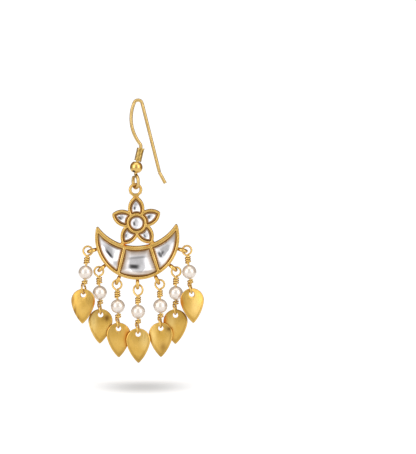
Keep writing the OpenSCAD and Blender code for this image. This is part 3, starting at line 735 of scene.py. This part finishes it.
def small_cuts(turn, reach):
    """Cuts of a small stone: the same way up in each cell, whichever way the cell is turned."""
    rows = [(190, 16, 0.45), (150, 16, 0.6), (95, 14, 0.7), (50, 16, 0.6), (0, 15, 0.4), (320, 17, 0.55),
            (270, 15, 0.6), (232, 16, 0.6)]
    return [(direction - turn, slope, distance * reach) for direction, slope, distance in rows]


def round_outline(inset):
    return full_circle(Vector((0, 0)), center_size / 2 - flower_wall - inset, 48)


center_painted_reflections = [(0, -7.97, 2, 2, 0, 0.8), (-0.50, -7.19, 0.82, 0.62, 0, 0.55),
                (0.80, -7.96, 0.62, 1.01, 0, 1.0), (-1.41, -7.76, 0.36, 0.72, 0, 1.0),
                (-0.60, -8.08, 0.29, 0.50, 8, 0.1), (-0.44, -9.00, 0.48, 0.29, 0, 0.55)]
center_stone = cut_stone("center", round_outline, (0, 0), small_cuts(0, 1.25), center_painted_reflections, small_clearing,
                         in_flower(0))
set_stone("stone_center", center_stone, in_flower(0))


def petal_stone_outline(inset, out):
    side = petal_side(flower_wall + inset, center_size / 2 + inset, out)
    right = mirrored(side)
    return (side + right[1:] + arc(Vector((0, 0)), right[-1], side[0], 8)[1:-1])[::-1]


petal_painted_reflections = [[(0, -4.3, 2, 2, 0, 0.8), (-0.12, -3.29, 0.43, 0.72, 0, 0.5),
                (0.39, -4.46, 0.50, 0.72, 0, 1.0), (-0.99, -4.06, 0.24, 0.58, 0, 0.9),
                (-0.36, -4.38, 0.28, 0.42, 0, 0.08)],
               [(-3.8, -6.6, 2, 2, 0, 0.8), (-3.48, -6.49, 0.53, 0.48, 0, 0.5),
                (-4.66, -6.16, 0.38, 0.26, -20, 1.0), (-3.02, -7.23, 0.48, 0.58, 0, 1.0),
                (-4.05, -6.52, 0.55, 0.26, -38, 0.1)],
               [(-2.3, -10.8, 2, 2, 0, 0.8), (-2.39, -9.84, 0.38, 0.38, 0, 0.55),
                (-1.72, -11.11, 0.62, 0.72, 20, 1.0), (-2.67, -10.89, 0.24, 0.55, -18, 0.2)],
               [(1.8, -10.9, 2, 2, 0, 0.8), (1.44, -10.26, 0.58, 0.38, 20, 0.55),
                (2.10, -11.85, 0.58, 0.29, 20, 1.0), (1.12, -11.09, 0.31, 0.26, 0, 0.95),
                (1.79, -11.04, 0.24, 0.50, 25, 0.18)],
               [(3.2, -6.7, 2, 2, 0, 0.8), (3.09, -6.29, 0.58, 0.29, -10, 0.5),
                (3.62, -6.98, 0.67, 0.43, 25, 1.0), (2.10, -6.44, 0.26, 0.43, 0, 0.95),
                (2.95, -6.6, 0.38, 0.48, -10, 0.1)]]
petal_table = 3.7
for k, (turn, out) in enumerate(zip(petal_turns, petal_outs)):
    petal_stone = cut_stone("petal", lambda inset: petal_stone_outline(inset, out), (0, petal_table + out),
                            small_cuts(turn, 1.0), petal_painted_reflections[k], small_clearing, in_flower(turn))
    set_stone(f"stone_petal_{k + 1}", petal_stone, in_flower(turn))


def crescent_cell(inset, side):
    """Outline of the middle cell (side -1) or the right cell (side 1) of the crescent, inside its walls."""
    across = Vector((math.cos(math.radians(divider_lean)), math.sin(math.radians(divider_lean))))
    top, low = crescent_top_r + top_wall + inset, crescent_r - low_wall - inset
    start = divider_top + across * side * (divider_width / 2 + inset)
    a = line_meets(start, divider_way, top_middle, top)
    b = line_meets(start, divider_way, low_middle, low)
    if side > 0:
        tip = arcs_meet(low, top)
        return ([b] + arc(top_middle, a, tip, 24) + arc(low_middle, tip, b, 24)[1:-1])[::-1]
    bottom = low_middle - Vector((0, low))
    return (arc(top_middle, a, Vector((-a.x, a.y)), 24)
            + arc(low_middle, Vector((-b.x, b.y)), bottom, 16)[:-1] + arc(low_middle, bottom, b, 16))[::-1]


middle_cuts = [(90, 8, 1.3), (183, 11, 2.2), (215, 12, 2.5), (268, 5, 2.3), (358, 12, 1.5),
               (318, 15, 2.0), (45, 13, 2.2), (135, 13, 2.3)]
middle_painted_reflections = [(0.2, -17.6, 5.5, 4.5, 0, 0.84), (-0.18, -15.35, 2.64, 0.62, -2, 0.88),
                (-0.37, -17.41, 2.1, 1.8, 0, 0.6), (-2.75, -17.69, 0.55, 1.32, -8, 1.2),
                (2.55, -17.75, 0.95, 1.68, 12, 1.25), (-0.21, -16.21, 2.16, 0.29, 4, 0.38),
                (-1.01, -18.34, 1.25, 0.53, -6, 0.06), (1.59, -19.68, 1.92, 0.22, 6, 0.45),
                (-1.76, -19.35, 1.20, 0.29, -8, 0.95)]
middle_stone = cut_stone("middle", lambda inset: crescent_cell(inset, -1), (0.2, -17.45), middle_cuts,
                         middle_painted_reflections, middle_clearing)
set_stone("stone_crescent_middle", middle_stone)
left_cuts = [(207, 13, 0.7), (240, 15, 1.0), (340, 13, 0.8), (58, 11, 0.9), (30, 13, 1.4), (95, 13, 1.6),
             (290, 13, 1.5)]
left_painted_reflections = [(-6.63, -14.19, 2.16, 0.86, -52, 0.5), (-7.74, -15.11, 2.88, 0.58, -60, 1.0),
              (-5.11, -15.56, 0.77, 1.68, 8, 1.0), (-5.76, -13.37, 1.68, 0.34, -30, 0.7),
              (-6.89, -15.02, 1.34, 0.34, -53, 0.05), (-5.2, -17.5, 0.9, 0.7, 0, 0.45)]
left_stone = cut_stone("left", lambda inset: mirrored(crescent_cell(inset, 1)), (-6.3, -14.9), left_cuts,
                       left_painted_reflections, long_clearing)
set_stone("stone_crescent_left", left_stone)
right_cuts = [(205, 12, 0.8), (320, 13, 0.7), (345, 14, 0.9), (120, 12, 0.9), (80, 14, 1.6),
              (150, 13, 1.1), (285, 14, 1.3)]
right_painted_reflections = [(6.33, -14.64, 2.16, 1.20, 48, 0.52), (4.35, -16.25, 0.46, 1.92, 16, 1.0),
               (7.72, -15.89, 0.62, 3.36, -24, 1.0), (5.19, -15.58, 0.36, 0.58, 18, 0.1),
               (5.82, -15.36, 0.31, 0.62, -35, 0.16), (5.51, -16.03, 0.31, 0.34, 0, 0.1),
               (5.50, -17.61, 0.48, 0.96, -20, 0.8), (4.8, -18.2, 0.8, 0.8, 0, 0.5),
               (8.3, -11.6, 0.8, 1.2, -20, 0.55)]
right_stone = cut_stone("right", lambda inset: crescent_cell(inset, 1), (6.4, -14.8), right_cuts,
                        right_painted_reflections, long_clearing)
set_stone("stone_crescent_right", right_stone)


# Links: gold wire with a round loop at each end, wrapped around its own shaft above and below the pearl.
# The upper loop holds an eye of the crescent; each drop hangs at its own lean and swing.
link_thick, link_loop_r, low_loop_r, link_length = 0.48, 1.08, 0.96, 10.31
wrap_pitch, wrap_r, wrap_down, foot_down = 0.53, link_thick + 0.04, 0.42, 0.5
loop_from, loop_to, loop_forward, forward_from = -70, 240, 0.4, 140
upper_turns, lower_turns, wrap_steps, loop_steps, ease_steps = 3, 1.5, 10, 13, 4
foot_pull, start_pull, stop_pull, stop_back = 0.3, 0.28, 0.25, 0.5

# A drop: its place round the eye, slack in the eye, upper loop's height, lean and swing of the link, turn of
# the lower loop, lean and turn of the leaf; lengths in millimetres, the upper loop's height as a share.
drops = [[-14, -0.1, 1, 5.9, 5.4, 66, 3.4, -10],
         [6, -0.1, 1, -2.3, -3.6, 84, 2, 2],
         [15, 0, 1, -1.8, 0, 82, -0.8, 6],
         [6, 0.1, 1.16, 0, 4, 80, -0.4, -2],
         [6, 0.12, 1, -1.3, 0.8, 84, 0.2, -6],
         [-12, 0.06, 1, 0.9, -3.8, 82, 0.2, 0],
         [15, -0.08, 1, -6.2, 4.4, 84, -5.1, 12]]


def loop_point(r, tall, a):
    t = math.radians(a)
    forward = loop_forward * (max(0, a - forward_from) / (loop_to - forward_from)) ** 2
    return Vector((r * math.cos(t), -forward, tall * r * math.sin(t)))


def curve_points(a, b, c, d, count):
    return [a * (1 - t) ** 3 + 3 * b * t * (1 - t) ** 2 + 3 * c * t * t * (1 - t) + d * t ** 3
            for t in (i / count for i in range(count))]


def link_end(r, tall, turns):
    """One end of a link, from the shaft around the loop and down the wrap."""
    start, stop = loop_point(r, tall, loop_from), loop_point(r, tall, loop_to)
    f, t = math.radians(loop_from), math.radians(loop_to)
    start_way = Vector((-math.sin(f), 0, tall * math.cos(f)))
    stop_way = Vector((-math.sin(t), -stop_back, tall * math.cos(t)))
    wrap = Vector((0, -wrap_r, -tall * r - wrap_down))
    wrap_way = Vector((1, 0, -wrap_pitch / (2 * math.pi * wrap_r)))
    foot = Vector((0, 0, -tall * r - foot_down))
    turns_points = []
    for i in range(int(wrap_steps * turns) + 1):
        a = math.radians(270 + 360 / wrap_steps * i)
        turns_points.append(Vector((wrap_r * math.cos(a), wrap_r * math.sin(a),
                                    wrap.z - wrap_pitch * i / wrap_steps)))
    loop = [loop_point(r, tall, loop_from + (loop_to - loop_from) * i / loop_steps) for i in range(loop_steps)]
    foot_end, start_end = foot + Vector((0, 0, foot_pull)), start - start_pull * start_way
    stop_end, wrap_end = stop + stop_pull * stop_way, wrap - stop_pull * wrap_way
    return (curve_points(foot, foot_end, start_end, start, ease_steps) + loop
            + curve_points(stop, stop_end, wrap_end, wrap, ease_steps) + turns_points)


def hanging(i):
    """Place of the upper loop of drop i, leaned and swung with its link."""
    round_eye, slack, tall, lean, swing = drops[i - 1][:5]
    a = eye_middle + eye_step * (i - 4)
    hole = Vector(ring_middle.xz) + spun(on_circle(low_middle, crescent_r + eye_out, a), frame_lean)
    t = math.radians(a + frame_lean + round_eye)
    x = hole.x + (link_loop_r + slack) * math.cos(t)
    z = hole.y + (link_loop_r * tall + slack) * math.sin(t)
    return Matrix.Translation((x, 0, z)) @ rotated(lean, "Y") @ rotated(-swing, "X")


link_gold = gold("link_gold", (0.74, 0.505, 0.17), (0.62, 0.39, 0.105), 0.28, 1.2, 0.3, 0.0003)
for i in range(1, 8):
    upper = link_end(link_loop_r, drops[i - 1][2], upper_turns)
    lower = [Matrix.Rotation(math.radians(drops[i - 1][5]), 3, "Z") @ Vector((p.x, -p.y, -p.z))
             + Vector((0, 0, low_loop_r - link_length)) for p in link_end(low_loop_r, 1, lower_turns)]
    link_path = round_ends(upper[::-1] + lower, link_thick)
    link = grown(path_object([link_path]), wire_tree, wire_thickness=link_thick, sides=12,
                 steps_between_points=3, material=link_gold)
    piece_of(f"link_{i}", link, "pendant", place=hanging(i))


# Pearls: round, cream with a pink cast, drilled through and threaded on the shaft of each link.
# The bore's edge is slightly worn round.
pearl_size, pearl_bore, pearl_drop, pearl_lip = 3.4, 0.66, 5.21, 0.07
pearl_cream, tree, shader, place = new_material("pearl_cream")
cloud = add_node(tree, "ShaderNodeTexNoise", {"Vector": place, "Scale": 450.0, "Detail": 3.0})
cream = two_tones(tree, cloud.outputs["Fac"], 0.3, (0.64, 0.565, 0.495), 0.7, (0.68, 0.62, 0.565))
tree.links.new(cream, shader.inputs["Base Color"])
shader.inputs["Metallic"].default_value = 0.6
shader.inputs["Roughness"].default_value = 0.25
shader.inputs["Coat Weight"].default_value = 0.4
shader.inputs["Coat Roughness"].default_value = 0.1
# Painted glow: the pearls give off a faint warm light of their own.
shader.inputs["Emission Color"].default_value = (1.0, 0.9, 0.82, 1)
shader.inputs["Emission Strength"].default_value = 0.06
for i in range(1, 8):
    pearl = drilled_bead(pearl_size, pearl_bore, pearl_lip, 64, "pearl")
    pearl.materials.append(pearl_cream)
    pearl_place = hanging(i) @ Matrix.Translation((0, 0, -pearl_drop))
    piece_of(f"pearl_{i}", pearl, "pendant", place=pearl_place)


# Leaves: thin gold sheet, domed forward, with a round upper end, two long sides and a rounded point.
# Each hangs by its hole from the lower loop of a link; the face is brushed satin and the edge rolled.
# A painted patch of light, given as which leaf, place from the hole, half width and height, how strong, and
# the tone: brown for painted shade, orange for painted reflection and shade where leaves lie close, pale for a
# painted highlight.
leaf_r, leaf_side_r, leaf_point, leaf_tip_r = 2.9, 10, 5.6, 0.3
leaf_hole_up, leaf_hole, leaf_dome_r, leaf_thick = 1.5, 1.24, 18, 0.42
leaf_gap, leaf_back_lean = 0.15, 0.6
leaf_dome_down = leaf_hole_up + 0.5
leaf_rest = leaf_hole / 2 - link_thick / 2 - leaf_gap
brown_painted_shade, orange_painted_reflection, painted_highlight = (0.20, 0.09, 0.018), (0.55, 0.15, 0.002), (0.95, 0.70, 0.27)
leaf_painted_patches = [(1, -2.45, -1.4, 0.34, 1.7, 0.9, brown_painted_shade), (1, -1.85, -4.2, 0.34, 1.4, 0.9, brown_painted_shade),
              (1, -1.0, -6.0, 0.3, 1.1, 0.8, brown_painted_shade),
              (2, -1.7, -1.6, 0.9, 2.6, 0.65, painted_highlight), (4, 1.5, -1.4, 1.0, 2.2, 0.55, painted_highlight),
              (7, 0.6, -3.0, 1.4, 2.4, 0.5, painted_highlight),
              (1, 2.75, -2.0, 0.35, 1.6, 0.9, orange_painted_reflection), (1, 2.0, -4.3, 0.35, 1.0, 0.6, orange_painted_reflection),
              (2, 1.5, -0.75, 0.75, 0.8, 0.9, brown_painted_shade), (3, 2.1, -2.6, 0.75, 2.2, 1.0, orange_painted_reflection),
              (5, 2.05, -0.1, 0.6, 0.6, 0.9, brown_painted_shade), (5, 0.6, -4.6, 0.8, 1.2, 0.6, brown_painted_shade),
              (5, -1.8, -1.6, 0.8, 2.4, 0.55, painted_highlight),
              (6, -2.6, -1.2, 0.5, 1.8, 0.95, orange_painted_reflection), (6, -0.9, -4.6, 0.45, 1.6, 0.9, orange_painted_reflection),
              (6, -0.9, -1.6, 0.7, 1.4, 0.45, painted_highlight), (7, -2.6, -2.2, 0.4, 2.2, 0.85, orange_painted_reflection)]
leaf_wave, wave_across, wave_down, edge_shade_share, edge_shade_wide, edge_shade_in = 0.03, 0.45, 0.32, 0.38, 0.07, 1.4
leaf_sag = (leaf_dome_down + leaf_hole / 2) ** 2 / (2 * leaf_dome_r)


def leaf_outline():
    """Left half of the outline from the top to the point, then the right half, about the hole's middle."""
    reach = leaf_side_r - leaf_r
    rise = (leaf_side_r ** 2 - reach ** 2 - leaf_point ** 2) / (2 * leaf_point)
    side = math.sqrt(reach ** 2 - rise ** 2)
    tip = math.sqrt((leaf_side_r - leaf_tip_r) ** 2 - side ** 2) - rise
    middle, end = Vector((0, -leaf_hole_up)), Vector((0, -leaf_hole_up - tip))
    far = Vector((side, rise - leaf_hole_up))
    join = middle + (middle - far).normalized() * leaf_r
    tip_join = end + (end - far).normalized() * leaf_tip_r
    left = (arc(middle, middle + Vector((0, leaf_r)), join, 22)[:-1] + arc(far, join, tip_join, 26)[:-1]
            + arc(end, tip_join, end - Vector((0, leaf_tip_r)), 5))
    return left + mirrored(left)[1:-1]


def leaf_mesh(number):
    """Rings from the hole out over the face, around the rolled edge and back behind to the hole."""
    outline = leaf_outline()
    count, half = len(outline), leaf_thick / 2
    hole = leaf_hole / 2
    sections = [(t, -1.0, 0.0) for t in [i / 12 for i in range(13)]]
    sections += [(1.0, -math.cos(a), math.sin(a)) for a in (math.pi * k / 6 for k in range(1, 6))]
    sections += [(1 - t, 1.0, 0.0) for t in [i / 12 for i in range(13)]]
    sections += [(0.0, math.cos(a), -math.sin(a)) for a in (math.pi * k / 6 for k in range(1, 6))]
    points, painted_light = [], []
    for t, depth, out in sections:
        for p in outline:
            way = p.normalized()
            inner = way * (hole + half * 0.5)
            outer = p - way * half
            q = inner + (outer - inner) * t + way * (out * half if out >= 0 else out * half * 0.5)
            d = (q - Vector((0, -leaf_dome_down))).length
            y = leaf_dome_r - math.sqrt(leaf_dome_r ** 2 - d * d)
            spot = Vector((q.x * wave_across + number * 7.3, q.y * wave_down, number * 1.7))
            wave = leaf_wave * noise.noise(spot)
            points.append((q.x, y + depth * half + wave, q.y))
            # Painted shade: a darker brown line just inside the rolled edge on face and back; the listed
            # painted patches are laid over it.
            edge_shade = edge_shade_share * math.exp(-((1 - t) / edge_shade_wide - edge_shade_in) ** 2) if out == 0 else 0
            shades = [(brown_painted_shade, edge_shade)]
            shades += [(tone, strong * math.exp(-((q.x - x) / wide) ** 2 - ((q.y - z) / high) ** 2))
                       for leaf, x, z, wide, high, strong, tone in leaf_painted_patches if leaf == number]
            tone, share = max(shades, key=lambda shade: shade[1])
            painted_light.append((*tone, share))
    faces = [(s * count + k, s * count + (k + 1) % count, (s + 1) % len(sections) * count + (k + 1) % count,
              (s + 1) % len(sections) * count + k) for s in range(len(sections)) for k in range(count)]
    mesh = bpy.data.meshes.new("leaf")
    mesh.from_pydata(points, [], faces)
    paint_light(mesh, painted_light)
    tidy = bmesh.new()
    tidy.from_mesh(mesh)
    bmesh.ops.recalc_face_normals(tidy, faces=tidy.faces[:])
    tidy.to_mesh(mesh)
    tidy.free()
    mesh.shade_smooth()
    return mesh


leaf_gold = gold("leaf_gold", (0.70, 0.445, 0.115), (0.61, 0.365, 0.07), 0.32, 3.0, 0.3, 0.0014, (1, 1, 0.1),
                 painted_light=True)
for i in range(1, 8):
    lean, swing, _, leaf_lean, yaw = drops[i - 1][3:8]
    turn = rotated(yaw, "Z") @ rotated(leaf_lean - lean, "Y") @ rotated(swing - leaf_back_lean, "X")
    leaf = leaf_mesh(i)
    leaf.materials.append(leaf_gold)
    leaf_place = (hanging(i) @ Matrix.Translation((0, 0, -link_length)) @ turn
                  @ Matrix.Translation((0, -leaf_sag, -leaf_rest)))
    piece_of(f"leaf_{i}", leaf, "pendant", place=leaf_place)


# Floor: a plain white table under the earring, lit and glowing so that it runs into the white behind it. The
# earring hangs just above it; a soft oval of painted shadow under it is taken out of the floor's glow.
scene = bpy.context.scene
scene.view_settings.view_transform = "Standard"
floor_z, floor_r = -68.4 * MM, 0.17
floor_mesh = bpy.data.meshes.new("floor")
floor_mesh.from_pydata([(floor_r * math.cos(a), floor_r * math.sin(a), floor_z)
                        for a in (2 * math.pi * i / 64 for i in range(64))], [], [tuple(range(64))])
floor = new_object("floor", floor_mesh)
white, tree, shader, place = new_material("floor_white")
shader.inputs["Base Color"].default_value = (0.465, 0.49, 0.52, 1)
shader.inputs["Roughness"].default_value = 0.9
# Painted shadow: the floor glows less in a soft oval under the earring.
painted_shadow_oval = add_node(tree, "ShaderNodeMapping",
                {"Vector": place, "Scale": (66, 58, 0), "Location": (-0.08, 0.11, 0)})
away = add_node(tree, "ShaderNodeVectorMath", {0: painted_shadow_oval.outputs[0]}, operation="LENGTH")
glow_less_painted_shadow = mapped(tree, away.outputs["Value"], 0.05, 1.1, 0.19, 0.66, interpolation_type="SMOOTHSTEP")
shader.inputs["Emission Color"].default_value = (1, 1, 1, 1)
tree.links.new(glow_less_painted_shadow, shader.inputs["Emission Strength"])
floor_mesh.materials.append(white)

# Light: a large soft box at each side of the camera, one overhead, and grey surroundings.
# What the camera sees behind the floor is plain white.
world = bpy.data.worlds.new("studio")
scene.world = world
world.use_nodes = True
tree = world.node_tree
tree.nodes.clear()
way = add_node(tree, "ShaderNodeTexCoord").outputs["Generated"]
axes = add_node(tree, "ShaderNodeSeparateXYZ", {"Vector": way})
height = mapped(tree, axes.outputs["Z"], -0.3, 0.5, 0.8, 1.15)
ahead = mapped(tree, axes.outputs["Y"], -0.4, 0.22, 0.93, 0.33)
aside = add_node(tree, "ShaderNodeMath", {0: axes.outputs["X"]}, operation="ABSOLUTE")
middle = mapped(tree, aside.outputs[0], 0.1, 0.5, 0.74, 1.0, interpolation_type="SMOOTHSTEP")
front_tone = add_node(tree, "ShaderNodeMath", {0: middle, 1: ahead}, operation="MULTIPLY")
gloom = add_node(tree, "ShaderNodeMath", {0: height, 1: front_tone.outputs[0]}, operation="MULTIPLY")
warmth = two_tones(tree, ahead, 0.2, (1.0, 0.66, 0.33), 0.8, (1.0, 0.99, 0.98))
room = add_node(tree, "ShaderNodeBackground", {"Color": warmth, "Strength": gloom.outputs[0]})
plain = add_node(tree, "ShaderNodeBackground", {"Color": (1, 1, 1, 1), "Strength": 1.1})
seen = add_node(tree, "ShaderNodeLightPath").outputs["Is Camera Ray"]
mixed = add_node(tree, "ShaderNodeMixShader", {"Fac": seen})
tree.links.new(room.outputs[0], mixed.inputs[1])
tree.links.new(plain.outputs[0], mixed.inputs[2])
add_node(tree, "ShaderNodeOutputWorld", {"Surface": mixed.outputs[0]})

pendant_middle = Vector((0, 0, -35 * MM))


def soft_box(name, azimuth, elevation, distance, width, height, radiance):
    """A soft box that looks at the middle of the earring; radiance is how bright its face looks."""
    lamp = bpy.data.lights.new(name, "AREA")
    lamp.shape, lamp.size, lamp.size_y = "RECTANGLE", width, height
    lamp.energy = radiance * math.pi * width * height
    a, e = math.radians(azimuth), math.radians(elevation)
    way = Vector((math.sin(a) * math.cos(e), -math.cos(a) * math.cos(e), math.sin(e)))
    made = new_object(name, lamp)
    made.location = pendant_middle + distance * way
    made.rotation_euler = (made.location - pendant_middle).to_track_quat("Z", "Y").to_euler()


soft_box("left_box", -48, 18, 0.7, 0.44, 0.7, 1.75)
soft_box("right_box", 48, 18, 0.7, 0.44, 0.7, 1.75)
soft_box("top_box", 0, 80, 0.7, 0.6, 0.5, 1.3)

# Camera: straight in front and a little above, as the photograph was taken.
camera = new_object("camera", bpy.data.cameras.new("camera"))
photo_height, distance, elevation = 108.54 * MM, 1.2, math.radians(5)
aim = Vector((16.68, 0, -29.98)) * MM
camera.data.lens = camera.data.sensor_width * distance / photo_height
camera.data.clip_start = 0.01
camera.location = aim + distance * Vector((0, -math.cos(elevation), math.sin(elevation)))
camera.rotation_euler = (math.pi / 2 - elevation, 0, 0)
scene.camera = camera
